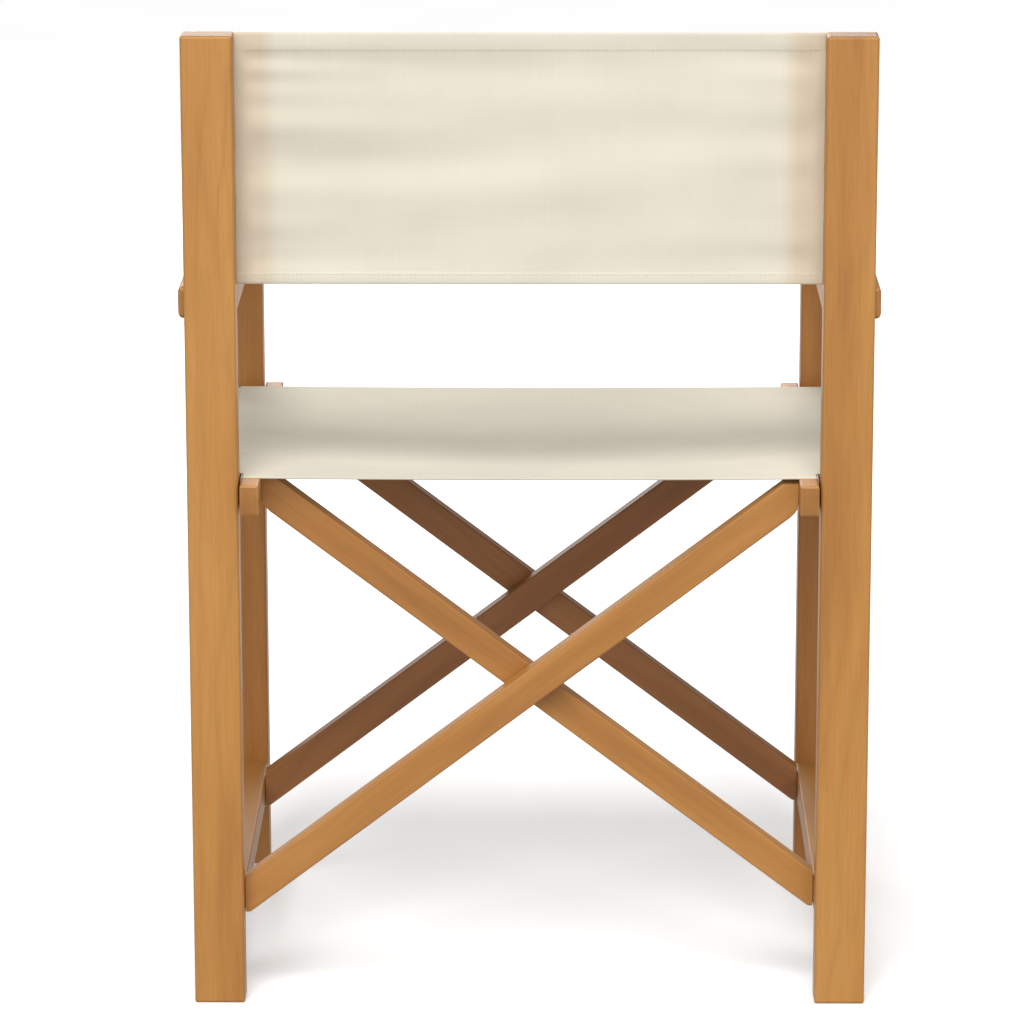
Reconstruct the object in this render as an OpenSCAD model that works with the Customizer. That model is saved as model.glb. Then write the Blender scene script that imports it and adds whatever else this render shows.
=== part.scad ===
// Folding director chair: two leg-and-arm side frames, a double pair of crossed
// braces, two seat rails that slide up between the frames, canvas seat and back.
// Millimetres, +Z up, the sitter faces -Y. Depths are counted from the rear face
// of the rear legs towards the front.

/* [Overall] */
// height of the rear legs, floor to the top of the back
chair_h = 840; // [700:5:950]
// clear width between the two side frames
inner_w = 490; // [400:1:560]
// depth of a side frame over its two legs
side_d = 408; // [340:1:460]

/* [Legs] */
// width of a leg across the chair
leg_w = 43; // [30:1:60]
// depth of a leg from front to back
leg_d = 28; // [20:1:45]
// edge rounding of the legs
leg_r = 2.5; // [1:0.5:5]

/* [Arms] */
// height of the top of the arm
arm_top = 629; // [560:1:700]
// thickness of the arm
arm_t = 28; // [18:1:35]
// width of the arm
arm_w = 48.5; // [40:0.5:70]
// how far the arm reaches past the front leg
arm_over = 38; // [0:1:80]
// edge rounding of the arm
arm_r = 6; // [2:0.5:10]

/* [Lower rails] */
// height of the top of the lower side rail
low_top = 100; // [60:1:160]
// height of the section of the lower side rail
low_h = 25; // [18:1:40]
// width of the section of the lower side rail
low_w = 36; // [20:1:43]

/* [Seat rails] */
// height of the top of the seat rail
seat_top = 461; // [380:1:520]
// width of the seat rail
seat_w = 16; // [12:1:25]
// height of the section of the seat rail
seat_h = 26; // [18:1:35]
// gap between the seat rail and the legs, which the canvas also uses
seat_gap = 1.7; // [1.5:0.1:4]
// how far the rail ends reach behind the rear legs
seat_over = 8; // [0:1:30]
// length of the seat rail
seat_len = 396; // [300:1:440]

/* [Crossed braces] */
// broad width of a brace
bar_w = 27.5; // [22:0.5:40]
// thickness of a brace
bar_t = 18; // [12:1:24]
// gap between two braces of a pair, which the washer fills
bar_gap = 1; // [0.8:0.1:2]
// depth at which the rear pair begins
bar_first = 20; // [10:1:40]
// distance from the rear pair to the front pair
bar_pitch = 302; // [200:1:320]
// half the distance between the end pivots
pivot_x = 214; // [180:1:225]
// height of the lower end pivots
pivot_low = 113; // [90:1:140]
// height of the upper end pivots
pivot_up = 439; // [380:1:500]
// angle that a brace turns when the chair folds
fold_angle = 44; // [20:1:46]

/* [Pivot hardware] */
// radius of a pivot bolt shank
pin_r = 4; // [3:0.25:5]
// radial clearance of a bolt in the hole it turns in
run_c = 0.05; // [0.02:0.01:0.1]
// radius of a pivot bolt head
head_r = 7; // [5:0.5:9]
// thickness of the angle brackets
plate_t = 2.5; // [1.5:0.25:4]
// length of a bracket leaf along its rail
leaf_l = 20; // [16:1:30]

/* [Canvas] */
// thickness of the canvas
canvas_t = 1; // [0.5:0.1:1.4]
// depth at which the seat canvas begins
seat_c0 = 20; // [10:1:60]
// depth at which the seat canvas ends
seat_c1 = 365; // [300:1:400]
// how far the seat canvas sags at its middle
seat_sag = 7; // [2:1:15]
// how far the loops of the seat canvas stand out beyond the seat rails
seat_loop = 27; // [0:1:30]
// bottom of the back canvas
back_z0 = 630; // [560:1:700]
// width of canvas that lies on each rear leg
back_lap = 36; // [20:1:40]

/* [Hidden] */
$fn = 32;
wood = [0.76, 0.56, 0.33];
wood_brace = [0.72, 0.51, 0.29];
steel = [0.62, 0.60, 0.56];
cloth = [0.90, 0.87, 0.79];
// position of the rear face of the rear legs
y_rear = (side_d + arm_over - seat_over) / 2;
x_in = inner_w / 2;
x_out = x_in + leg_w;
d_front = side_d - leg_d;
arm_bot = arm_top - arm_t;
arm_x1 = x_in + arm_w;
arm_notch = 5;
low_bot = low_top - low_h;
tenon_l = 15;
tenon_h = 15;
tenon_w = 14;
tenon_x = x_in + low_w / 2;
leg_tenon_w = 24;
leg_tenon_d = 14;
rail_x1 = x_in - seat_gap;
rail_x0 = rail_x1 - seat_w;
seat_bot = seat_top - seat_h;
rail_r = 2;
bar_r = 2;
bar_z = (pivot_low + pivot_up) / 2;
bar_a = atan((pivot_up - pivot_low) / (2 * pivot_x));
bar_blank = 700;
stop_gap = 0.5;
turn_gap = 0.3;
turn_r = rail_x0 - pivot_x - turn_gap;
bar_low_cut = 76;
bar_up_cut = seat_top - 5;
bar_a_first = bar_first + bar_t + bar_gap;
washer_t = 0.65;
washer_r = 10;
bolt_bite = 13;
head_t = 2.5;
ear_gap = 0.5;
head_gap = 0.4;
ear_r = 9;
ear_foot = 7;
screw_r = 1.8;
screw_head_r = 3.6;
screw_head_t = 1.6;
screw_bite = 13;
leaf_low = 2;
leaf_z = 20;
leaf_screw_v = 13;
leaf_screw_in = 5;
loop_v0 = leg_d + 5;
loop_v1 = seat_c1;
loop_low = 3;
tack_r = 0.9;
tack_head_r = 3.6;
tack_head_t = 1.3;
tack_bite = 8;
tack_n = 9;
tack_end = 22;
back_tack_n = 6;
back_tack_end = 18;
back_tack_x = x_in + 22;
back_top = chair_h - 1;
sag_steps = 24;
pair_shift = [0, bar_pitch];
big = 600;
eps = 0.5;

// y of a depth counted from the rear face of the rear legs
function yv(v) = y_rear - v;

// centred rectangle with round corners
module round_rect(a, b, r) {
    square([a - 2 * r, b], center = true);
    square([a, b - 2 * r], center = true);
    for (i = [-1, 1], j = [-1, 1])
        translate([i * (a / 2 - r), j * (b / 2 - r)])
            circle(r);
}

// block between two corners with all its edges rounded
module block(x0, x1, v0, v1, z0, z1, r) {
    a = x1 - x0;
    b = v1 - v0;
    c = z1 - z0;
    translate([(x0 + x1) / 2, yv((v0 + v1) / 2), (z0 + z1) / 2])
        intersection() {
            linear_extrude(c, center = true) round_rect(a, b, r);
            rotate([90, 0, 0]) linear_extrude(b, center = true) round_rect(a, c, r);
            rotate([90, 0, 90]) linear_extrude(a, center = true) round_rect(b, c, r);
        }
}

// square-edged block between two corners
module plain(x0, x1, v0, v1, z0, z1) {
    translate([x0, yv(v1), z0])
        cube([x1 - x0, v1 - v0, z1 - z0]);
}

// flat outline in the XZ plane, given thickness from depth v0 to v1
module slab(v0, v1) {
    translate([0, yv(v0), 0])
        rotate([90, 0, 0])
            linear_extrude(v1 - v0)
                children();
}

// round bar along the depth at x, z
module rod(x, z, v0, v1, r) {
    slab(v0, v1)
        translate([x, z])
            circle(r);
}

// round bar across the chair
module cross_rod(x0, x1, v, z, r) {
    translate([x0, yv(v), z])
        rotate([0, 90, 0])
            cylinder(h = x1 - x0, r = r);
}

module left_right(side) {
    if (side > 0)
        children();
    else
        mirror([1, 0, 0])
            children();
}

function back_tack_z(i) = back_z0 + back_tack_end
    + i * (back_top - back_z0 - 2 * back_tack_end) / (back_tack_n - 1);
function seat_tack_v(i) = seat_c0 + tack_end + i * (seat_c1 - seat_c0 - 2 * tack_end) / (tack_n - 1);
// start of the bracket leaf for a pair, for the first or the second brace
function leaf_v(pair, second) = pair + (second ? bar_a_first : bar_first) + bar_t + ear_gap;

module leg_rear(side) {
    color(wood)
        left_right(side)
            difference() {
                block(x_in, x_out, 0, leg_d, 0, chair_h, leg_r);
                plain(tenon_x - tenon_w / 2, tenon_x + tenon_w / 2, leg_d - tenon_l,
                      leg_d + eps, low_bot + (low_h - tenon_h) / 2, low_top - (low_h - tenon_h) / 2);
                for (i = [0 : back_tack_n - 1])
                    rod(back_tack_x, back_tack_z(i), leg_d - tack_bite, leg_d + eps, tack_r);
            }
}

module leg_front(side) {
    color(wood)
        left_right(side)
            difference() {
                union() {
                    intersection() {
                        block(x_in, x_out, d_front, side_d, 0, arm_top, leg_r);
                        plain(0, big, d_front, side_d, 0, arm_bot);
                    }
                    plain((x_in + x_out - leg_tenon_w) / 2, (x_in + x_out + leg_tenon_w) / 2,
                          d_front + (leg_d - leg_tenon_d) / 2, side_d - (leg_d - leg_tenon_d) / 2,
                          arm_bot, arm_bot + tenon_l);
                }
                plain(tenon_x - tenon_w / 2, tenon_x + tenon_w / 2, d_front - eps,
                      d_front + tenon_l, low_bot + (low_h - tenon_h) / 2, low_top - (low_h - tenon_h) / 2);
            }
}

module rail_low(side) {
    color(wood)
        left_right(side)
            difference() {
                union() {
                    intersection() {
                        block(x_in, x_in + low_w, 0, side_d, low_bot, low_top, rail_r);
                        plain(0, big, leg_d, d_front, 0, chair_h);
                    }
                    plain(tenon_x - tenon_w / 2, tenon_x + tenon_w / 2, leg_d - tenon_l,
                          d_front + tenon_l, low_bot + (low_h - tenon_h) / 2,
                          low_top - (low_h - tenon_h) / 2);
                }
                for (p = pair_shift, i = [0, 1])
                    cross_rod(x_in - eps, x_in + screw_bite, leaf_v(p, side < 0) + leaf_screw_v,
                              low_bot + leaf_low + leaf_screw_in + i * (leaf_z - 2 * leaf_screw_in),
                              screw_r);
            }
}

module arm(side) {
    color(wood)
        left_right(side)
            difference() {
                block(x_in, arm_x1, arm_notch, side_d + arm_over, arm_bot, arm_top, arm_r);
                plain(x_in - eps, x_out, 0, leg_d, arm_bot - eps, arm_top + eps);
                plain((x_in + x_out - leg_tenon_w) / 2, (x_in + x_out + leg_tenon_w) / 2,
                      d_front + (leg_d - leg_tenon_d) / 2, side_d - (leg_d - leg_tenon_d) / 2,
                      arm_bot - eps, arm_bot + tenon_l);
            }
}

// angle bracket: a leaf on the rail at x = face, an ear out to the pivot
module bracket(face, z0, pivot_z, v) {
    difference() {
        union() {
            plain(face - plate_t, face, v, v + leaf_l, z0, z0 + leaf_z);
            slab(v, v + plate_t) {
                polygon([
                    [face, z0],
                    [face, z0 + leaf_z],
                    [pivot_x + ear_foot, pivot_z + ear_foot],
                    [pivot_x - ear_foot, pivot_z - ear_foot]
                ]);
                translate([pivot_x, pivot_z])
                    circle(ear_r);
            }
        }
        rod(pivot_x, pivot_z, v - eps, v + plate_t + eps, pin_r + run_c);
        for (i = [0, 1])
            cross_rod(face - plate_t - eps, face + eps, v + leaf_screw_v,
                      z0 + leaf_screw_in + i * (leaf_z - 2 * leaf_screw_in), screw_r);
    }
}

module leaf_screws(face, z0, v) {
    for (i = [0, 1]) {
        z = z0 + leaf_screw_in + i * (leaf_z - 2 * leaf_screw_in);
        cross_rod(face - plate_t, face + screw_bite, v + leaf_screw_v, z, screw_r);
        translate([face - plate_t - screw_head_t, yv(v + leaf_screw_v), z])
            rotate([0, 90, 0])
                cylinder(h = screw_head_t, r1 = screw_head_r - 1, r2 = screw_head_r);
    }
}

module bracket_low(side) {
    color(steel)
        left_right(side)
            for (p = pair_shift)
                bracket(x_in, low_bot + leaf_low, pivot_low, leaf_v(p, side < 0));
}

module screws_low(side) {
    color(steel)
        left_right(side)
            for (p = pair_shift)
                leaf_screws(x_in, low_bot + leaf_low, leaf_v(p, side < 0));
}

module seat_rail(side) {
    color(wood)
        left_right(side)
            difference() {
                block(rail_x0, rail_x1, -seat_over, seat_len - seat_over, seat_bot, seat_top, rail_r);
                for (p = pair_shift, i = [0, 1])
                    cross_rod(rail_x0 - eps, rail_x0 + screw_bite, leaf_v(p, side > 0) + leaf_screw_v,
                              seat_bot + leaf_low + leaf_screw_in + i * (leaf_z - 2 * leaf_screw_in),
                              screw_r);
                for (i = [0 : tack_n - 1])
                    translate([(rail_x0 + rail_x1) / 2, yv(seat_tack_v(i)), seat_bot - eps])
                        cylinder(h = tack_bite + eps, r = tack_r);
            }
}

module bracket_up(side) {
    color(steel)
        left_right(side)
            for (p = pair_shift)
                bracket(rail_x0, seat_bot + leaf_low, pivot_up, leaf_v(p, side > 0));
}

module screws_up(side) {
    color(steel)
        left_right(side)
            for (p = pair_shift)
                leaf_screws(rail_x0, seat_bot + leaf_low, leaf_v(p, side > 0));
}

module tacks_seat(side) {
    color(steel)
        left_right(side)
            for (i = [0 : tack_n - 1])
                translate([(rail_x0 + rail_x1) / 2, yv(seat_tack_v(i)), seat_bot]) {
                    cylinder(h = tack_bite, r = tack_r);
                    translate([0, 0, -canvas_t])
                        cylinder(h = canvas_t, r = tack_r);
                    translate([0, 0, -canvas_t - tack_head_t])
                        cylinder(h = tack_head_t, r1 = tack_head_r - 1, r2 = tack_head_r);
                }
}

module tacks_back(side) {
    color(steel)
        left_right(side)
            for (i = [0 : back_tack_n - 1]) {
                rod(back_tack_x, back_tack_z(i), leg_d - tack_bite, leg_d + canvas_t, tack_r);
                translate([back_tack_x, yv(leg_d + canvas_t), back_tack_z(i)])
                    rotate([90, 0, 0])
                        cylinder(h = tack_head_t, r1 = tack_head_r, r2 = tack_head_r - 1);
            }
}

// outline that trims a brace: foot end at +x, head end at -x, whose underside
// is cut back to swing clear of the seat rail
module bar_clip() {
    qx = -pivot_x - turn_r * cos(fold_angle);
    qz = pivot_up - turn_r * sin(fold_angle);
    polygon([
        [-pivot_x, bar_up_cut],
        [-pivot_x, pivot_up],
        [qx, qz],
        [qx + (qz - bar_low_cut) * tan(fold_angle), bar_low_cut],
        [x_in - stop_gap, bar_low_cut],
        [x_in - stop_gap, bar_up_cut]
    ]);
    translate([-rail_x0 + turn_gap, pivot_up])
        square([rail_x0, bar_up_cut - pivot_up]);
    translate([-pivot_x, pivot_up])
        circle(turn_r);
}

// brace with its foot at +x and its head at -x, beginning at depth v
module brace(v) {
    intersection() {
        translate([0, yv(v + bar_t / 2), bar_z])
            rotate([0, bar_a, 0])
                rotate([90, 0, 90])
                    linear_extrude(bar_blank, center = true)
                        round_rect(bar_t, bar_w, bar_r);
        slab(v, v + bar_t)
            bar_clip();
    }
}

module end_bores(v) {
    for (e = [[pivot_x, pivot_low], [-pivot_x, pivot_up]])
        rod(e[0], e[1], v + bar_t - bolt_bite, v + bar_t + eps, pin_r);
}

module bar_b(pair) {
    v = bar_first + pair;
    color(wood_brace)
        difference() {
            brace(v);
            end_bores(v);
            rod(0, bar_z, v + bar_t - bolt_bite, v + bar_t + eps, pin_r);
        }
}

module bar_a(pair) {
    v = bar_a_first + pair;
    color(wood_brace)
        mirror([1, 0, 0])
            difference() {
                brace(v);
                end_bores(v);
                rod(0, bar_z, v - eps, v + bar_t + eps, pin_r + run_c);
            }
}

// shoulder bolt fixed from depth v0, its head beginning at depth v1
module bolt(x, z, v0, v1) {
    rod(x, z, v0, v1, pin_r);
    translate([x, yv(v1), z])
        rotate([90, 0, 0])
            cylinder(h = head_t, r1 = head_r, r2 = head_r - 1.5);
}

module bolts_ends(first) {
    for (p = pair_shift, e = [[pivot_x, pivot_low], [-pivot_x, pivot_up]])
        bolt(e[0], e[1], first + p + bar_t - bolt_bite,
             first + p + bar_t + ear_gap + plate_t + head_gap);
}

module bolts_centre() {
    color(steel)
        for (p = pair_shift)
            bolt(0, bar_z, bar_first + p + bar_t - bolt_bite, bar_a_first + p + bar_t + head_gap);
}

module washers_centre() {
    color(steel)
        for (p = pair_shift)
            difference() {
                rod(0, bar_z, bar_first + p + bar_t, bar_first + p + bar_t + washer_t, washer_r);
                rod(0, bar_z, bar_first + p + bar_t - eps, bar_first + p + bar_t + washer_t + eps,
                    pin_r);
            }
}

// shallow sagging sheet from rail to rail
module canvas_sheet() {
    slab(seat_c0, seat_c1)
        polygon(concat(
            [for (i = [0 : sag_steps]) [
                -rail_x0 + 2 * rail_x0 * i / sag_steps,
                seat_top + canvas_t - seat_sag * (1 - pow(2 * i / sag_steps - 1, 2))
            ]],
            [
                [rail_x1 - rail_r, seat_top + canvas_t],
                [rail_x1 - rail_r, seat_top],
            ],
            [for (i = [sag_steps : -1 : 0]) [
                -rail_x0 + 2 * rail_x0 * i / sag_steps,
                seat_top - seat_sag * (1 - pow(2 * i / sag_steps - 1, 2))
            ]],
            [
                [-rail_x1 + rail_r, seat_top],
                [-rail_x1 + rail_r, seat_top + canvas_t]
            ]
        ));
}

// seat sheet with the loops that stand out beyond the rails, between the legs
module canvas_seat() {
    color(cloth) {
        canvas_sheet();
        for (s = [0, 1])
            mirror([s, 0, 0]) {
                plain(rail_x1 - rail_r, rail_x1 + seat_loop, loop_v0, loop_v1,
                      seat_top, seat_top + canvas_t);
                plain(rail_x1 + seat_loop - canvas_t, rail_x1 + seat_loop, loop_v0, loop_v1,
                      seat_bot + loop_low, seat_top + canvas_t);
            }
    }
}

// back sheet across the fronts of the rear legs
module canvas_back() {
    color(cloth)
        difference() {
            plain(-x_in - back_lap, x_in + back_lap, leg_d, leg_d + canvas_t, back_z0, back_top);
            for (s = [-1, 1], i = [0 : back_tack_n - 1])
                rod(s * back_tack_x, back_tack_z(i), leg_d - eps, leg_d + canvas_t + eps, tack_r);
        }
}

leg_rear(1);  // leg_rear_l
leg_front(1);  // leg_front_l
rail_low(1);  // rail_low_l
arm(1);  // arm_l
bracket_low(1);  // bracket_low_l
screws_low(1);  // screws_low_l
tacks_back(1);  // tacks_back_l
leg_rear(-1);  // leg_rear_r
leg_front(-1);  // leg_front_r
rail_low(-1);  // rail_low_r
arm(-1);  // arm_r
bracket_low(-1);  // bracket_low_r
screws_low(-1);  // screws_low_r
tacks_back(-1);  // tacks_back_r
seat_rail(1);  // seat_rail_l
bracket_up(1);  // bracket_up_l
screws_up(1);  // screws_up_l
tacks_seat(1);  // tacks_seat_l
seat_rail(-1);  // seat_rail_r
bracket_up(-1);  // bracket_up_r
screws_up(-1);  // screws_up_r
tacks_seat(-1);  // tacks_seat_r
bar_b(0);  // bar_b_rear
bar_b(bar_pitch);  // bar_b_front
color(steel) bolts_ends(bar_first);  // bolts_b_ends
bolts_centre();
washers_centre();
bar_a(0);  // bar_a_rear
bar_a(bar_pitch);  // bar_a_front
color(steel) mirror([1, 0, 0]) bolts_ends(bar_a_first);  // bolts_a_ends
canvas_seat();
canvas_back();
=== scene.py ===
import math

import bmesh
import bpy
import numpy as np
from mathutils import Matrix, Vector


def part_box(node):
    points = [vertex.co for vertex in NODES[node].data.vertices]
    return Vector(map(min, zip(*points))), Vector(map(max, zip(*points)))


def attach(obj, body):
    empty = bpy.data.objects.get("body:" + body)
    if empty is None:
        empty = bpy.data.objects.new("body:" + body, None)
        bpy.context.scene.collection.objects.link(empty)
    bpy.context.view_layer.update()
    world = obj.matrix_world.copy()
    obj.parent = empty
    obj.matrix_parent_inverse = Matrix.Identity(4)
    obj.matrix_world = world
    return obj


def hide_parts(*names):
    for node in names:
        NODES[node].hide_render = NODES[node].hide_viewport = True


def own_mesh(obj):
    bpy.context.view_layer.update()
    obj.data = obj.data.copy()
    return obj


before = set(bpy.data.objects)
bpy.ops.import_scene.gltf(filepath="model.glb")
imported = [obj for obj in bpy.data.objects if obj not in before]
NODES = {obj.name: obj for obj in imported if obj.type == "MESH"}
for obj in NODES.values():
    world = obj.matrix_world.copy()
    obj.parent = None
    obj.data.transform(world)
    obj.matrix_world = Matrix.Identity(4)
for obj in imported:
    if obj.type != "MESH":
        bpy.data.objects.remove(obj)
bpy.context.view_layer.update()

# ---------------------------------------------------------------- sizes from the frame
leg_lo, leg_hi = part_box("leg_rear_l")
rail_lo, rail_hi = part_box("seat_rail_l")
seat_lo, seat_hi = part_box("canvas_seat")
back_lo, back_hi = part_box("canvas_back")
Y_REAR = leg_hi.y  # rear face of the rear legs
X_IN = leg_lo.x  # inner faces of the legs
POST_FRONT = leg_lo.y  # front face of the rear legs
RX0, RX1 = rail_lo.x, rail_hi.x
SEAT_TOP, SEAT_BOT = rail_hi.z, rail_lo.z
T = 0.0009  # canvas thickness
CLEAR = 0.0001  # gap between the canvas and the wood that it lies on
EDGE_ROUND = 0.0009  # how far in from a free edge the canvas starts to thin
HEM_STEP = 0.0012  # length over which a hem's edge rises
STITCH_PITCH = 0.0038


# ---------------------------------------------------------------- materials
def new_material(name):
    m = bpy.data.materials.new(name)
    m.use_nodes = True
    nt = m.node_tree
    return m, nt, nt.nodes["Principled BSDF"]


def add(nt, kind, **props):
    n = nt.nodes.new(kind)
    for k, v in props.items():
        if k.startswith("in_"):
            n.inputs[k[3:].replace("_", " ")].default_value = v
        else:
            setattr(n, k, v)
    return n


def ramp(nt, source, stops):
    r = nt.nodes.new("ShaderNodeValToRGB")
    e = r.color_ramp.elements
    while len(e) < len(stops):
        e.new(0.5)
    for el, (p, c) in zip(e, stops):
        el.position = p
        el.color = (*c, 1)
    nt.links.new(source, r.inputs["Fac"])
    return r.outputs["Color"]


def mix(nt, a, b, fac, mode="MIX"):
    n = nt.nodes.new("ShaderNodeMix")
    n.data_type = "RGBA"
    n.blend_type = mode
    for s, v in ((n.inputs[6], a), (n.inputs[7], b), (n.inputs[0], fac)):
        if isinstance(v, bpy.types.NodeSocket):
            nt.links.new(v, s)
        else:
            s.default_value = v if not isinstance(v, tuple) else (*v, 1)
    return n.outputs[2]


def maths(nt, op, a, b=None, c=None):
    n = nt.nodes.new("ShaderNodeMath")
    n.operation = op
    for i, v in enumerate((a, b, c)):
        if v is None:
            continue
        if isinstance(v, bpy.types.NodeSocket):
            nt.links.new(v, n.inputs[i])
        else:
            n.inputs[i].default_value = v
    return n.outputs[0]


def wood_material(name, turn, offset, light, mid, dark, rough=0.46):
    """Oiled hardwood whose fibres run along local Z once turned."""
    m, nt, bsdf = new_material(name)
    coord = add(nt, "ShaderNodeTexCoord")
    place = add(nt, "ShaderNodeMapping")
    place.inputs["Rotation"].default_value = turn
    place.inputs["Location"].default_value = offset
    nt.links.new(coord.outputs["Object"], place.inputs["Vector"])

    def stretched(sx, sy, sz):
        s = add(nt, "ShaderNodeMapping")
        s.inputs["Scale"].default_value = (sx, sy, sz)
        nt.links.new(place.outputs["Vector"], s.inputs["Vector"])
        return s.outputs["Vector"]

    broad = add(nt, "ShaderNodeTexNoise", in_Scale=1.0, in_Detail=3.0, in_Roughness=0.55)
    nt.links.new(stretched(22, 22, 2.2), broad.inputs["Vector"])
    # growth rings: bands across the width, bent slowly along the length
    bend = add(nt, "ShaderNodeTexNoise", in_Scale=1.0, in_Detail=2.0, in_Roughness=0.5)
    nt.links.new(stretched(9, 9, 2.6), bend.inputs["Vector"])
    sep = add(nt, "ShaderNodeSeparateXYZ")
    nt.links.new(place.outputs["Vector"], sep.inputs[0])
    across = maths(nt, "ADD", maths(nt, "MULTIPLY", sep.outputs[0], 95.0),
                   maths(nt, "MULTIPLY", sep.outputs[1], 60.0))
    phase = maths(nt, "ADD", across, maths(nt, "MULTIPLY", bend.outputs["Fac"], 17.0))
    rings = maths(nt, "POWER", maths(nt, "ABSOLUTE", maths(nt, "SINE", phase)), 0.45)
    fibre = add(nt, "ShaderNodeTexNoise", in_Scale=1.0, in_Detail=3.0, in_Roughness=0.65)
    nt.links.new(stretched(520, 520, 16), fibre.inputs["Vector"])
    pores = add(nt, "ShaderNodeTexNoise", in_Scale=1.0, in_Detail=1.0, in_Roughness=0.5)
    nt.links.new(stretched(900, 900, 42), pores.inputs["Vector"])
    base = ramp(nt, broad.outputs["Fac"], [(0.28, dark), (0.5, mid), (0.72, light)])
    ringed = mix(nt, dark, base, maths(nt, "MULTIPLY_ADD", rings, 0.40, 0.60))
    fibred = mix(nt, ringed, ramp(nt, fibre.outputs["Fac"],
                                  [(0.3, (0.72, 0.66, 0.58)), (0.62, (1.06, 1.05, 1.04))]),
                 0.32, "MULTIPLY")
    pore = ramp(nt, pores.outputs["Fac"], [(0.30, (0.55, 0.46, 0.38)), (0.39, (1, 1, 1))])
    col = mix(nt, fibred, pore, 0.16, "MULTIPLY")
    # a tone darker on the cut ends
    endm = add(nt, "ShaderNodeMapping", vector_type="VECTOR")
    endm.inputs["Rotation"].default_value = turn
    nt.links.new(coord.outputs["Normal"], endm.inputs["Vector"])
    endsep = add(nt, "ShaderNodeSeparateXYZ")
    nt.links.new(endm.outputs["Vector"], endsep.inputs[0])
    facing = maths(nt, "POWER", maths(nt, "ABSOLUTE", endsep.outputs[2]), 6.0)
    endness = maths(nt, "SMOOTH_MIN", facing, 1.0, 0.05)
    col = mix(nt, col, (0.60, 0.54, 0.48), maths(nt, "MULTIPLY", endness, 0.75), "MULTIPLY")
    nt.links.new(col, bsdf.inputs["Base Color"])
    r = maths(nt, "MULTIPLY_ADD", fibre.outputs["Fac"], 0.22, rough - 0.10)
    nt.links.new(r, bsdf.inputs["Roughness"])
    bsdf.inputs["Specular IOR Level"].default_value = 0.42
    height = maths(nt, "ADD", maths(nt, "MULTIPLY", fibre.outputs["Fac"], 0.7),
                   maths(nt, "MULTIPLY", rings, 0.3))
    bump = add(nt, "ShaderNodeBump", in_Strength=0.12, in_Distance=0.0003)
    nt.links.new(height, bump.inputs["Height"])
    nt.links.new(bump.outputs["Normal"], bsdf.inputs["Normal"])
    return m


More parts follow.
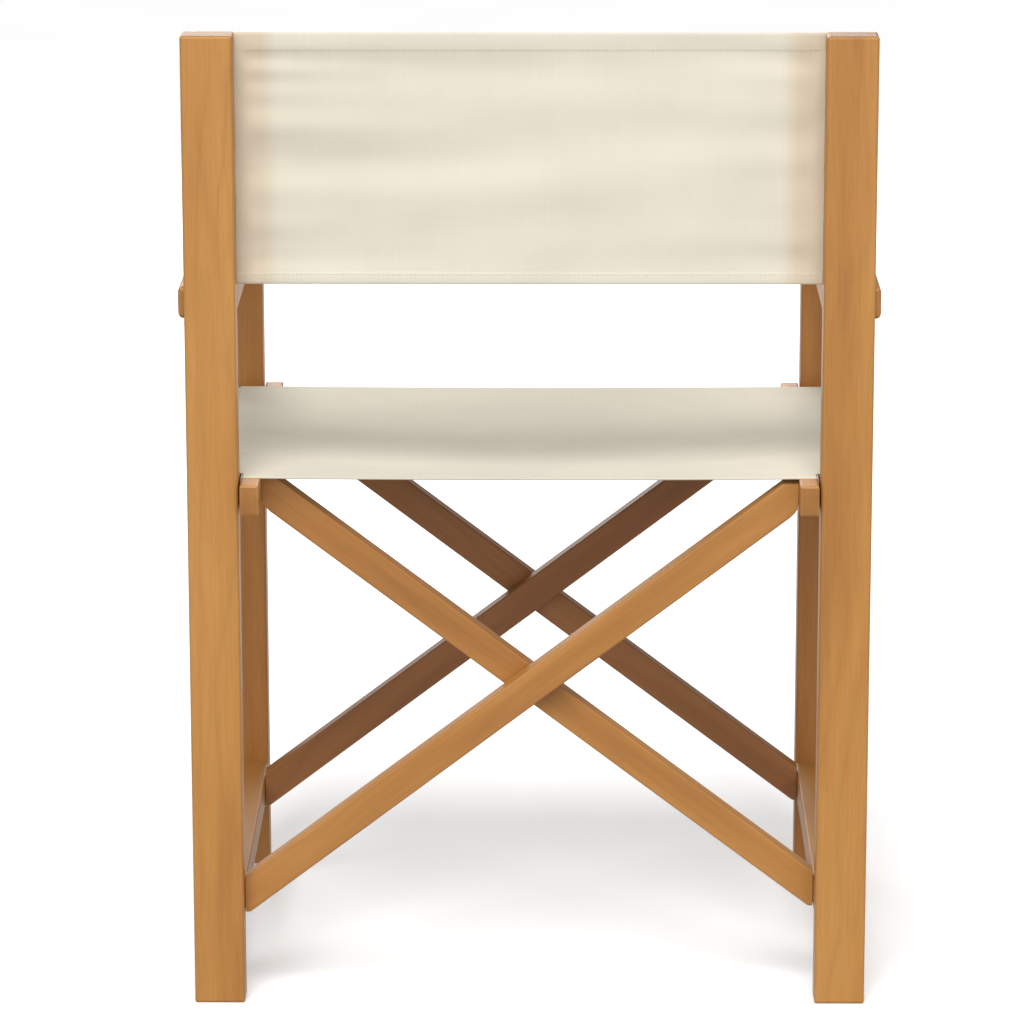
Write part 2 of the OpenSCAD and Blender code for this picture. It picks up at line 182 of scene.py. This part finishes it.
def canvas_material(name, tone, a, b, middle_shade=0.0, post_shade=0.0):
    """Plain-woven cotton canvas. a and b are the axes (0 x, 1 y, 2 z) the threads run along,
    middle_shade is how much darker the middle of the width is painted than its sides, a painted shade,
    and post_shade is how far in from each rear leg the cloth is painted darker, a painted shade of the legs."""
    m, nt, bsdf = new_material(name)
    coord = add(nt, "ShaderNodeTexCoord")
    sep = add(nt, "ShaderNodeSeparateXYZ")
    nt.links.new(coord.outputs["Object"], sep.inputs[0])
    pitch = 2 * math.pi / 0.0011
    wa = maths(nt, "SINE", maths(nt, "MULTIPLY", sep.outputs[a], pitch))
    wb = maths(nt, "SINE", maths(nt, "MULTIPLY", sep.outputs[b], pitch))
    weave = maths(nt, "MULTIPLY", wa, wb)
    ridges = maths(nt, "MAXIMUM", maths(nt, "ABSOLUTE", wa), maths(nt, "ABSOLUTE", wb))

    def slubs(across):
        """Thick and thin threads: streaks that change fast along one axis and slowly along the others."""
        place = add(nt, "ShaderNodeMapping")
        scale = [14.0, 14.0, 14.0]
        scale[across] = 900.0
        place.inputs["Scale"].default_value = scale
        nt.links.new(coord.outputs["Object"], place.inputs["Vector"])
        noise = add(nt, "ShaderNodeTexNoise", in_Scale=1.0, in_Detail=2.0, in_Roughness=0.6)
        nt.links.new(place.outputs["Vector"], noise.inputs["Vector"])
        return noise.outputs["Fac"]

    slub_a, slub_b = slubs(b), slubs(a)
    broad = add(nt, "ShaderNodeTexNoise", in_Scale=7.0, in_Detail=3.0, in_Roughness=0.5)
    nt.links.new(coord.outputs["Object"], broad.inputs["Vector"])
    dark = tuple(0.90 * c for c in tone)
    col = ramp(nt, broad.outputs["Fac"], [(0.3, dark), (0.65, tone)])
    threads = maths(nt, "MULTIPLY_ADD", weave, 0.035, 0.965)
    streaks = maths(nt, "MULTIPLY_ADD", maths(nt, "ADD", slub_a, slub_b), 0.06, 0.94)
    grey = maths(nt, "MULTIPLY", threads, streaks)
    # painted shade: the middle of the width is coloured darker than its sides
    if middle_shade:
        out = maths(nt, "MINIMUM", maths(nt, "ABSOLUTE", maths(nt, "DIVIDE", sep.outputs[0], RX0)), 1.0)
        grey = maths(nt, "MULTIPLY", grey,
                     maths(nt, "MULTIPLY_ADD", maths(nt, "POWER", out, 1.6), middle_shade, 1.0 - middle_shade))
    comb = add(nt, "ShaderNodeCombineColor")
    for i in range(3):
        nt.links.new(grey, comb.inputs[i])
    col = mix(nt, col, comb.outputs[0], 1.0, "MULTIPLY")
    # painted shade: the cloth beside each rear leg is coloured darker, standing in for the shade the leg
    # casts on it
    if post_shade:
        inside = maths(nt, "SUBTRACT", maths(nt, "ABSOLUTE", sep.outputs[0]), X_IN - post_shade)
        post_shade_share = maths(nt, "MINIMUM", maths(nt, "MAXIMUM", maths(nt, "DIVIDE", inside, 0.014), 0.0), 1.0)
        col = mix(nt, col, (0.92, 0.84, 0.78), post_shade_share, "MULTIPLY")
    nt.links.new(col, bsdf.inputs["Base Color"])
    nt.links.new(maths(nt, "MULTIPLY_ADD", slub_a, 0.12, 0.80), bsdf.inputs["Roughness"])
    bsdf.inputs["Specular IOR Level"].default_value = 0.25
    bsdf.inputs["Sheen Weight"].default_value = 0.18
    bsdf.inputs["Sheen Roughness"].default_value = 0.5
    height = maths(nt, "ADD", maths(nt, "MULTIPLY", ridges, 0.6), maths(nt, "MULTIPLY", slub_a, 0.3))
    bump = add(nt, "ShaderNodeBump", in_Strength=0.30, in_Distance=0.0003)
    nt.links.new(height, bump.inputs["Height"])
    nt.links.new(bump.outputs["Normal"], bsdf.inputs["Normal"])
    return m


def thread_material():
    m, nt, bsdf = new_material("stitch_thread")
    coord = add(nt, "ShaderNodeTexCoord")
    twist = add(nt, "ShaderNodeTexNoise", in_Scale=900.0, in_Detail=2.0)
    nt.links.new(coord.outputs["Object"], twist.inputs["Vector"])
    nt.links.new(ramp(nt, twist.outputs["Fac"], [(0.3, (0.62, 0.57, 0.46)), (0.7, (0.74, 0.69, 0.57))]),
                 bsdf.inputs["Base Color"])
    bsdf.inputs["Roughness"].default_value = 0.7
    return m


def metal_material(name, tone, rough):
    m, nt, bsdf = new_material(name)
    coord = add(nt, "ShaderNodeTexCoord")
    haze = add(nt, "ShaderNodeTexNoise", in_Scale=160.0, in_Detail=4.0, in_Roughness=0.6)
    nt.links.new(coord.outputs["Object"], haze.inputs["Vector"])
    fine = add(nt, "ShaderNodeTexNoise", in_Scale=1400.0, in_Detail=2.0)
    nt.links.new(coord.outputs["Object"], fine.inputs["Vector"])
    nt.links.new(ramp(nt, haze.outputs["Fac"], [(0.3, tuple(0.78 * c for c in tone)), (0.7, tone)]),
                 bsdf.inputs["Base Color"])
    nt.links.new(maths(nt, "MULTIPLY_ADD", haze.outputs["Fac"], 0.22, rough), bsdf.inputs["Roughness"])
    bsdf.inputs["Metallic"].default_value = 1.0
    bump = add(nt, "ShaderNodeBump", in_Strength=0.12, in_Distance=0.0002)
    nt.links.new(fine.outputs["Fac"], bump.inputs["Height"])
    nt.links.new(bump.outputs["Normal"], bsdf.inputs["Normal"])
    return m


LIGHT = (0.545, 0.266, 0.070)
MID = (0.480, 0.220, 0.050)
DARK = (0.350, 0.146, 0.031)
ALONG_Z = (0.0, 0.0, 0.0)
ALONG_Y = (math.pi / 2, 0.0, 0.0)
bolt_lo, bolt_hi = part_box("bolts_b_ends")
SLOPE = math.atan((bolt_hi.z - bolt_lo.z) / (bolt_hi.x - bolt_lo.x))
# painted shade: each kind of piece has its wood colour darkened by these factors, standing in for the shade
# it lies in under the seat and behind the rear legs
SHADE_FACTORS = {
    "leg_front": (0.86, 0.79, 0.78),
    "bar_a_front": (0.60, 0.52, 0.62),
    "bar_b_front": (0.60, 0.52, 0.62),
    "bar_a_rear": (0.94, 0.92, 0.94),
    "bar_b_rear": (0.94, 0.92, 0.94),
    "rail_low": (0.86, 0.84, 0.82),
}
WOOD = {  # how each piece's grain is turned, and where in the pattern it is cut from
    "leg_rear_l": (ALONG_Z, (0.31, 0.0, 0.4)),
    "leg_rear_r": (ALONG_Z, (0.83, 0.2, 1.7)),
    "leg_front_l": (ALONG_Z, (1.47, 0.4, 2.9)),
    "leg_front_r": (ALONG_Z, (2.11, 0.7, 3.3)),
    "rail_low_l": (ALONG_Y, (0.17, 0.9, 0.2)),
    "rail_low_r": (ALONG_Y, (0.67, 1.3, 0.8)),
    "arm_l": (ALONG_Y, (1.19, 1.7, 1.6)),
    "arm_r": (ALONG_Y, (1.73, 2.1, 2.2)),
    "seat_rail_l": (ALONG_Y, (2.37, 2.3, 0.5)),
    "seat_rail_r": (ALONG_Y, (2.93, 2.6, 1.1)),
    "bar_b_rear": ((0.0, -math.pi / 2 - SLOPE, 0.0), (0.21, 3.0, 0.7)),
    "bar_b_front": ((0.0, -math.pi / 2 - SLOPE, 0.0), (0.77, 3.3, 1.9)),
    "bar_a_rear": ((0.0, -math.pi / 2 + SLOPE, 0.0), (1.33, 3.7, 2.7)),
    "bar_a_front": ((0.0, -math.pi / 2 + SLOPE, 0.0), (1.89, 4.1, 3.9)),
}


def darkened_for_shade(colour, shade_factor):
    return tuple(c * t for c, t in zip(colour, shade_factor))


# each piece's wood colour is darkened by its painted shade factor
for n, (turn, offset) in WOOD.items():
    shade_factor = next((t for kind, t in SHADE_FACTORS.items() if n.startswith(kind)), (1.0, 1.0, 1.0))
    mat = wood_material("wood_" + n, turn, offset, darkened_for_shade(LIGHT, shade_factor), darkened_for_shade(MID, shade_factor),
                        darkened_for_shade(DARK, shade_factor))
    NODES[n].data.materials.clear()
    NODES[n].data.materials.append(mat)

STEEL = metal_material("zinc_plate", (0.60, 0.58, 0.54), 0.30)
TACK = metal_material("aged_brass", (0.48, 0.37, 0.20), 0.38)
for n, o in NODES.items():
    if n.startswith(("bracket", "screws", "bolts", "washers", "tacks")):
        o.data.materials.clear()
        o.data.materials.append(TACK if n.startswith("tacks") else STEEL)

TONE_BACK = (0.760, 0.715, 0.590)
TONE_SEAT = (0.790, 0.735, 0.595)
# the strips beside the rear legs carry a painted shade
CANVAS_BACK = canvas_material("canvas_back_cloth", TONE_BACK, 0, 2, post_shade=0.036)
# the seat's middle carries a painted shade
CANVAS_SEAT = canvas_material("canvas_seat_cloth", TONE_SEAT, 0, 1, middle_shade=0.14)
CANVAS_WRAP = canvas_material("canvas_wrap_cloth", TONE_SEAT, 1, 2)
THREAD = thread_material()


# ---------------------------------------------------------------- cloth meshes
def linked(name, data):
    o = bpy.data.objects.new(name, data)
    bpy.context.scene.collection.objects.link(o)
    return o


def smooth_object(name, me, mat):
    me.polygons.foreach_set("use_smooth", [True] * len(me.polygons))
    me.materials.append(mat)
    return linked(name, me)


def closed_sheet(name, grid, up, down, mat):
    """Closed thin sheet round a grid of points [i, j], with up and down its half-thicknesses."""
    du = np.gradient(grid, axis=0)
    dv = np.gradient(grid, axis=1)
    normal = np.cross(du, dv)
    normal /= np.linalg.norm(normal, axis=2)[..., None]
    ni, nj = grid.shape[:2]
    top = grid + normal * np.broadcast_to(up, (ni, nj))[..., None]
    bot = grid - normal * np.broadcast_to(down, (ni, nj))[..., None]
    verts = np.concatenate([top.reshape(-1, 3), bot.reshape(-1, 3)])
    idx = np.arange(ni * nj).reshape(ni, nj)
    faces = []
    for i in range(ni - 1):
        for j in range(nj - 1):
            a, b, c, d = idx[i, j], idx[i + 1, j], idx[i + 1, j + 1], idx[i, j + 1]
            faces.append((a, b, c, d))
            faces.append(tuple(v + ni * nj for v in (d, c, b, a)))
    rim = list(idx[:, 0]) + list(idx[-1, 1:]) + list(idx[-2::-1, -1]) + list(idx[0, -2:0:-1])
    for a, b in zip(rim, rim[1:] + rim[:1]):
        faces.append((a, a + ni * nj, b + ni * nj, b))
    me = bpy.data.meshes.new(name)
    me.from_pydata([tuple(v) for v in verts], [], [tuple(int(q) for q in f) for f in faces])
    me.update()
    bm = bmesh.new()
    bm.from_mesh(me)
    bmesh.ops.recalc_face_normals(bm, faces=bm.faces)
    bm.to_mesh(me)
    bm.free()
    return smooth_object(name, me, mat)


def bump_at(x, centre, width):
    return np.exp(-(((x - centre) / width) ** 2))


def smooth(t):
    t = np.clip(t, 0, 1)
    return t * t * (3 - 2 * t)


def steps(lo, hi, n, extra=()):
    """Even steps from lo to hi, with some extra places let in between them."""
    return np.array(sorted(set(np.round(np.linspace(lo, hi, n), 6)) | set(np.round(extra, 6))))


def rims(lo, hi):
    """A place just inside each free edge, where the canvas thins."""
    return [lo + 0.0006, hi - 0.0006]


def about(place):
    """Close places on both sides of the step at a hem's edge."""
    return np.linspace(place - 0.001, place + 0.001, 5).tolist()


def thinned(*inside):
    """Share of its thickness that the canvas keeps, at these distances in from its free edges."""
    return 0.35 + 0.65 * np.minimum.reduce([smooth(d / EDGE_ROUND) for d in inside])


def stitch_row(name, points, normals, length=0.0026, width=0.00045):
    """Short raised stitches laid along a list of points, each aligned with its neighbour."""
    bm = bmesh.new()
    for k in range(len(points) - 1):
        p, q = Vector(points[k]), Vector(points[k + 1])
        along = (q - p).normalized()
        up = Vector(normals[k]).normalized()
        side = up.cross(along).normalized()
        rot = Matrix((along, side, up)).transposed().to_4x4()
        mid = (p + q) / 2
        size = Matrix.Diagonal((length / 2, width, width * 0.7, 1))
        bmesh.ops.create_icosphere(bm, subdivisions=1, radius=1.0,
                                   matrix=Matrix.Translation(mid) @ rot @ size)
    me = bpy.data.meshes.new(name)
    bm.to_mesh(me)
    bm.free()
    return smooth_object(name, me, THREAD)


# ---- back panel, between the rear legs
BZ0, BZ1 = back_lo.z - 0.0035, back_hi.z
BACK_Y = POST_FRONT - T / 2 - CLEAR
TOP_HEM, LOW_HEM = 0.017, 0.011
BACK_HEM = 0.0004  # how far a hem stands out on the rear side
FOLD_HIGH, FOLD_WIDE, FOLD_LONG = 2.3, 1.7, 1.9  # scale the strength, width and reach of every crease
FOLDS = [  # height, slope, width, reach and strength of each crease, from the +X post
    (0.817, -0.020, 0.0042, 0.150, 0.0012), (0.797, 0.015, 0.0050, 0.110, 0.0011),
    (0.777, -0.030, 0.0060, 0.160, 0.0010), (0.745, 0.020, 0.0065, 0.120, 0.0012),
    (0.734, -0.010, 0.0050, 0.080, 0.0009), (0.721, 0.025, 0.0060, 0.140, 0.0011),
    (0.690, -0.015, 0.0075, 0.100, 0.0008), (0.662, 0.020, 0.0060, 0.090, 0.0009),
    (0.647, 0.000, 0.0050, 0.130, 0.0010)]
FOLDS_R = [  # the same from the -X post
    (0.812, 0.100, 0.0060, 0.060, 0.0012), (0.790, 0.020, 0.0070, 0.100, 0.0007),
    (0.752, -0.020, 0.0080, 0.120, 0.0008), (0.716, 0.015, 0.0080, 0.090, 0.0007),
    (0.678, -0.010, 0.0090, 0.120, 0.0007), (0.648, 0.010, 0.0060, 0.090, 0.0008)]


def back_surface(x, z):
    """Depth offset of the back panel, positive towards the sitter."""
    d = 0.0 * x
    for side, folds in ((1, FOLDS), (-1, FOLDS_R)):
        from_post = np.clip(X_IN - side * x, 0, None)
        for h, s, w, reach, a in folds:
            edge = smooth(from_post / 0.020)
            width = FOLD_WIDE * w * (1 + from_post / 0.25)
            fade = np.exp(-((from_post / (FOLD_LONG * reach)) ** 1.5))
            d = d + FOLD_HIGH * a * bump_at(z, h + s * from_post, width) * fade * edge
    belly = (1 - (x / X_IN) ** 2)
    mid = (z - (BZ0 + BZ1) / 2) / ((BZ1 - BZ0) / 2)
    d = d - 0.0035 * belly * (1 - 0.75 * mid ** 2)
    d = d + 0.0006 * np.sin(z * 95 + 2.0 * np.sin(x * 6)) * np.clip(1 - mid ** 4, 0, 1)
    return d


def back_sheet():
    xs = steps(-X_IN - 0.0002, X_IN + 0.0002, 121, np.linspace(-X_IN, -X_IN + 0.03, 16).tolist()
               + np.linspace(X_IN - 0.03, X_IN, 16).tolist())
    zs = steps(BZ0, BZ1, 90, rims(BZ0, BZ1) + about(BZ0 + LOW_HEM) + about(BZ1 - TOP_HEM))
    X, Z = np.meshgrid(xs, zs, indexing="ij")
    grid = np.stack([X, BACK_Y - back_surface(X, Z), Z], axis=2)
    hem = np.maximum(smooth((Z - (BZ1 - TOP_HEM)) / 0.0045), smooth(((BZ0 + LOW_HEM) - Z) / 0.0030))
    thin = thinned(BZ1 - Z, Z - BZ0)
    # du x dv points to -Y here, so the rear side is the lower half of the sheet
    return closed_sheet("back_panel", grid, T / 2 * thin, (T / 2 + hem * BACK_HEM) * thin, CANVAS_BACK)


back_panel = back_sheet()
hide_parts("canvas_back")


def back_row(name, z, rear_side):
    pts, nrm = [], []
    for k in range(int(2 * (X_IN - 0.004) / STITCH_PITCH)):
        x = -X_IN + 0.004 + k * STITCH_PITCH
        d = float(back_surface(np.array(x), np.array(z)))
        y = BACK_Y - d + (T / 2 + BACK_HEM if rear_side else -T / 2)
        pts.append((x, y, z))
        nrm.append((0, 1 if rear_side else -1, 0))
    return stitch_row(name, pts, nrm)


back_rows = [back_row("back_stitch_top_rear", BZ1 - TOP_HEM + 0.0028, True),
             back_row("back_stitch_top_front", BZ1 - TOP_HEM + 0.0028, False),
             back_row("back_stitch_low_rear", BZ0 + LOW_HEM - 0.0026, True),
             back_row("back_stitch_low_front", BZ0 + LOW_HEM - 0.0026, False)]


# ---- laps of the back canvas on the fronts of the rear legs
LAP_HEM = 0.0125
BACK_TACKS, TACK_HEAD = 6, 0.0036  # tacks in each lap, and the radius of a head


def back_lap(side):
    name = "back_lap_" + ("l" if side > 0 else "r")
    x1 = back_hi.x
    us = steps(X_IN, x1, 22, np.linspace(x1 - LAP_HEM, x1 - LAP_HEM + 0.002, 5))
    ws = steps(back_lo.z + 0.0006, BZ1, 70)
    U, W = np.meshgrid(us, ws, indexing="ij")
    hem_side = smooth((U - (x1 - LAP_HEM)) / HEM_STEP)
    tacks = 0.0 * U
    lo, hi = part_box("tacks_back_l")
    for i in range(BACK_TACKS):
        tz = lo.z + TACK_HEAD + i * (hi.z - lo.z - 2 * TACK_HEAD) / (BACK_TACKS - 1)
        away = (W - tz) ** 2 + (U - (lo.x + hi.x) / 2) ** 2 * 0.15
        tacks = tacks + 0.0007 * np.exp(-away / 0.006 ** 2)
    lift = 0.0005 * (0.5 + 0.5 * np.sin(W * 210 + 1.3 * side)) * smooth((U - X_IN) / 0.02)
    grid = np.stack([side * U, BACK_Y - np.clip(lift - tacks, 0, None) * 0.4, W], axis=2)
    outer_half = (T / 2 + 0.0004 * hem_side) * thinned(BZ1 - W, W - ws[0], x1 - U)
    up, down = (outer_half, T / 2) if side > 0 else (T / 2, outer_half)
    o = closed_sheet(name, grid, up, down, CANVAS_BACK)
    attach(o, "frame_l" if side > 0 else "frame_r")


back_lap(1)
back_lap(-1)

# ---- seat panel, over both seat rails and out to the loops between the legs
SY0, SY1 = seat_lo.y, seat_hi.y
SEAT_Z = SEAT_TOP + T / 2 + CLEAR
SEAT_HEM = 0.012
SEAT_HEM_T = 0.0011  # how far a hem stands out under the seat
LOOP_X, LOOP_Y1 = seat_hi.x, POST_FRONT - 0.004
LOOP_R, LOOP_FOOT = 0.006, 0.003  # radius of a loop's turns, and its foot's height above the rail's
LOOP_TAPER = 0.014  # length over which a loop closes in front of the rear leg
LOOP_TURN = LOOP_X - T / 2 - LOOP_R  # where a loop starts to turn down


def seat_edge(y):
    """Half-width of the seat panel: narrow beside the rear legs, wide between the legs."""
    narrow, wide = RX1 - 0.001, LOOP_TURN + 0.001
    return narrow + (wide - narrow) * smooth((LOOP_Y1 - y) / LOOP_TAPER)


RIDGES = [  # place, slope, width, reach and height of each soft fold, and the side it starts from
    (0.016, 0.34, 0.0055, 0.110, 0.0013, 1), (0.108, 0.16, 0.0060, 0.140, 0.0013, 1),
    (-0.070, 0.10, 0.0080, 0.090, 0.0008, 1), (0.160, -0.05, 0.0060, 0.090, 0.0008, 1),
    (0.104, 0.28, 0.0070, 0.170, 0.0015, -1), (0.030, 0.30, 0.0070, 0.110, 0.0010, -1),
    (-0.060, -0.08, 0.0080, 0.080, 0.0008, -1), (0.155, 0.06, 0.0060, 0.120, 0.0009, -1)]


def seat_surface(x, y):
    """Height offset of the seat panel, negative where it sags."""
    t = (y - SY0) / (SY1 - SY0)
    free = 1 - (2 * t - 1) ** 2
    span = np.clip(1 - np.abs(x / RX0) ** 2.0, 0, None)
    d = -(0.0010 + 0.0085 * free) * span
    for c, slope, w, reach, high, side in RIDGES:
        dist = np.clip(LOOP_X - side * x, 0, None)
        d = d + high * bump_at(y, c + slope * dist, w * (1 + dist / 0.16)) \
            * np.exp(-((dist / reach) ** 1.4))
    d = d + 0.0006 * np.sin(y * 60 + 1.5 * np.sin(x * 9)) * span * free
    return d


def seat_sheet():
    xs = steps(-RX0, RX0, 131)
    outer = np.linspace(0, 1, 14)[1:]  # share of the way from the rail's inner side to the edge
    ys = steps(SY0, SY1, 130, rims(SY0, SY1) + about(SY0 + SEAT_HEM) + about(SY1 - SEAT_HEM))
    flap = RX0 + outer[:, None] * (seat_edge(ys) - RX0)[None, :]
    X = np.concatenate([-flap[::-1], np.repeat(xs[:, None], len(ys), axis=1), flap])
    Y = np.broadcast_to(ys, X.shape)
    grid = np.stack([X, Y, SEAT_Z + seat_surface(X, Y)], axis=2)
    hem = np.maximum(smooth((SY0 + SEAT_HEM - Y) / HEM_STEP), smooth((Y - (SY1 - SEAT_HEM)) / HEM_STEP))
    thin = thinned(Y - SY0, SY1 - Y)
    return closed_sheet("seat_panel", grid, T / 2 * thin, (T / 2 + SEAT_HEM_T * hem) * thin, CANVAS_SEAT)


seat_panel = seat_sheet()
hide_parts("canvas_seat")


def seat_row(name, y, above):
    pts, nrm = [], []
    half = (float(seat_edge(np.array(y))) if above else RX0) - 0.003
    for k in range(int(2 * half / STITCH_PITCH)):
        x = -half + k * STITCH_PITCH
        z = SEAT_Z + float(seat_surface(np.array(x), np.array(y)))
        pts.append((x, y, z + (T / 2 if above else -T / 2 - SEAT_HEM_T)))
        nrm.append((0, 0, 1 if above else -1))
    return stitch_row(name, pts, nrm)


seat_rows = [seat_row("seat_stitch_front_top", SY0 + SEAT_HEM - 0.0026, True),
             seat_row("seat_stitch_rear_top", SY1 - SEAT_HEM + 0.0026, True),
             seat_row("seat_stitch_front_under", SY0 + SEAT_HEM - 0.0026, False),
             seat_row("seat_stitch_rear_under", SY1 - SEAT_HEM + 0.0026, False)]


# ---- wraps of the seat canvas round the seat rails
RAIL_R = 0.002  # radius of a seat rail's edges


def swept(x, z, ys, side):
    """Grid of points that carries an outline in x and z along the places ys."""
    grid = np.zeros((len(z), len(ys), 3))
    grid[:, :, 0] = side * x
    grid[:, :, 1] = ys[None, :]
    grid[:, :, 2] = z[:, None]
    return grid


def wrap_path():
    """Outline of the canvas round a rail: from under the seat panel, down the outside and under."""
    gap = T / 2 + CLEAR
    r = RAIL_R + gap
    pts = [(RX1 - RAIL_R + r * math.sin(t), SEAT_TOP - RAIL_R + r * math.cos(t))
           for t in np.linspace(0.75, math.pi / 2, 6)]
    for z in np.linspace(SEAT_TOP - RAIL_R, SEAT_BOT + RAIL_R, 8)[1:]:
        pts.append((RX1 + gap, z))
    for t in np.linspace(0, math.pi / 2, 7)[1:]:
        pts.append((RX1 - RAIL_R + r * math.cos(t), SEAT_BOT + RAIL_R - r * math.sin(t)))
    for x in np.linspace(RX1 - RAIL_R, RX0 + 0.001, 6)[1:]:
        pts.append((x, SEAT_BOT - gap))
    return np.array(pts)


def seat_wrap(side):
    path = wrap_path()
    ys = steps(SY0, SY1, 60, rims(SY0, SY1))
    grid = swept(path[:, 0][:, None], path[:, 1], ys, side)
    half = T / 2 * thinned(grid[:, :, 1] - SY0, SY1 - grid[:, :, 1])
    o = closed_sheet("seat_wrap_" + ("l" if side > 0 else "r"), grid, half, half, CANVAS_WRAP)
    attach(o, "seat_l" if side > 0 else "seat_r")


seat_wrap(1)
seat_wrap(-1)


def loop_path():
    """Outline of a loop: from under the seat panel, round, down and back to the rail."""
    top, foot, x0 = SEAT_Z - T, SEAT_BOT + LOOP_FOOT, LOOP_TURN
    pts = [(x, top) for x in np.linspace(x0 - 0.005, x0, 4)]
    for t in np.linspace(0, math.pi / 2, 7)[1:]:
        pts.append((x0 + LOOP_R * math.sin(t), top - LOOP_R * (1 - math.cos(t))))
    for z in np.linspace(top - LOOP_R, foot + LOOP_R, 5)[1:]:
        pts.append((x0 + LOOP_R, z))
    for t in np.linspace(0, math.pi / 2, 7)[1:]:
        pts.append((x0 + LOOP_R * math.cos(t), foot + LOOP_R * (1 - math.sin(t))))
    for x in np.linspace(x0, RX1 + 2 * T + 0.0004, 7)[1:]:
        pts.append((x, foot))
    return np.array(pts)


def seat_loop(side):
    path = loop_path()
    ys = steps(SY0, LOOP_Y1, 60, rims(SY0, LOOP_Y1))
    open_share = 0.10 + 0.90 * smooth((LOOP_Y1 - ys) / LOOP_TAPER)
    grid = swept(RX1 + (path[:, 0] - RX1)[:, None] * open_share[None, :], path[:, 1], ys, side)
    half = T / 2 * thinned(grid[:, :, 1] - SY0, LOOP_Y1 - grid[:, :, 1])
    o = closed_sheet("seat_loop_" + ("l" if side > 0 else "r"), grid, half, half, CANVAS_WRAP)
    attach(o, "seat_l" if side > 0 else "seat_r")
    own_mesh(o)


seat_loop(1)
seat_loop(-1)

for o in [back_panel, *back_rows]:
    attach(o, "frame_l")
    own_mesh(o)
for o in [seat_panel, *seat_rows]:
    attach(o, "seat_l")
    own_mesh(o)

# ---------------------------------------------------------------- floor, light and camera
FLOOR_HALF = 14.0  # half the width of the floor


def floor_material():
    m, nt, bsdf = new_material("floor_paint")
    coord = add(nt, "ShaderNodeTexCoord")
    mottle = add(nt, "ShaderNodeTexNoise", in_Scale=3.0, in_Detail=2.0)
    nt.links.new(coord.outputs["Object"], mottle.inputs["Vector"])
    nt.links.new(ramp(nt, mottle.outputs["Fac"], [(0.3, (0.93, 0.93, 0.93)), (0.7, (0.95, 0.95, 0.95))]),
                 bsdf.inputs["Base Color"])
    bsdf.inputs["Roughness"].default_value = 0.9
    bsdf.inputs["Emission Color"].default_value = (1, 1, 1, 1)
    bsdf.inputs["Emission Strength"].default_value = 0.17
    return m


floor_mesh = bpy.data.meshes.new("floor")
floor_mesh.from_pydata([(x * FLOOR_HALF, y * FLOOR_HALF, 0) for x, y in ((-1, -1), (1, -1), (1, 1), (-1, 1))],
                       [], [(0, 1, 2, 3)])
floor_mesh.materials.append(floor_material())
floor = linked("floor", floor_mesh)
floor.visible_diffuse = False  # the pale floor throws no light up at the chair

world = bpy.data.worlds.new("studio")
bpy.context.scene.world = world
world.use_nodes = True
background = world.node_tree.nodes["Background"]
background.inputs["Color"].default_value = (1.0, 1.0, 1.0, 1)
background.inputs["Strength"].default_value = 0.34


def area(name, place, aim, size, watts):
    data = bpy.data.lights.new(name, "AREA")
    data.shape = "RECTANGLE"
    data.size, data.size_y = size
    data.energy = watts
    o = linked(name, data)
    o.location = place
    o.rotation_mode = "QUATERNION"
    o.rotation_quaternion = (Vector(aim) - Vector(place)).to_track_quat("-Z", "Y")


area("key", (0.9, 3.6, 1.9), (0, 0, 0.5), (2.6, 1.8), 50)
area("fill", (-1.6, 3.0, 1.5), (0, 0, 0.4), (2.2, 2.0), 23)
area("front", (0.6, -3.4, 1.8), (0, 0, 0.5), (2.6, 2.0), 58)
sky = bpy.data.lights.new("sky", "SUN")
sky.energy = 2.0
sky.angle = 0.5
sun = linked("sky", sky)
sun.rotation_mode = "QUATERNION"
sun.rotation_quaternion = Vector((-0.06, -0.62, -1.0)).to_track_quat("-Z", "Y")

# the photograph's viewing direction: behind the chair, a little above it
ELEV, YAW, DIST = 0.23926, -0.00556, 4.457
target = Vector((0.0, Y_REAR - 0.25, 0.42))
ahead = Vector((-math.sin(YAW) * math.cos(ELEV), -math.cos(YAW) * math.cos(ELEV), -math.sin(ELEV)))
cam_data = bpy.data.cameras.new("camera")
cam_data.sensor_width = 36.0
cam_data.lens = 176.06
cam_data.shift_x = -0.01863
cam_data.shift_y = -0.04975
cam = linked("camera", cam_data)
cam.location = target - ahead * DIST
cam.rotation_mode = "QUATERNION"
cam.rotation_quaternion = ahead.to_track_quat("-Z", "Y")
bpy.context.scene.camera = cam
bpy.context.scene.view_settings.view_transform = "Standard"
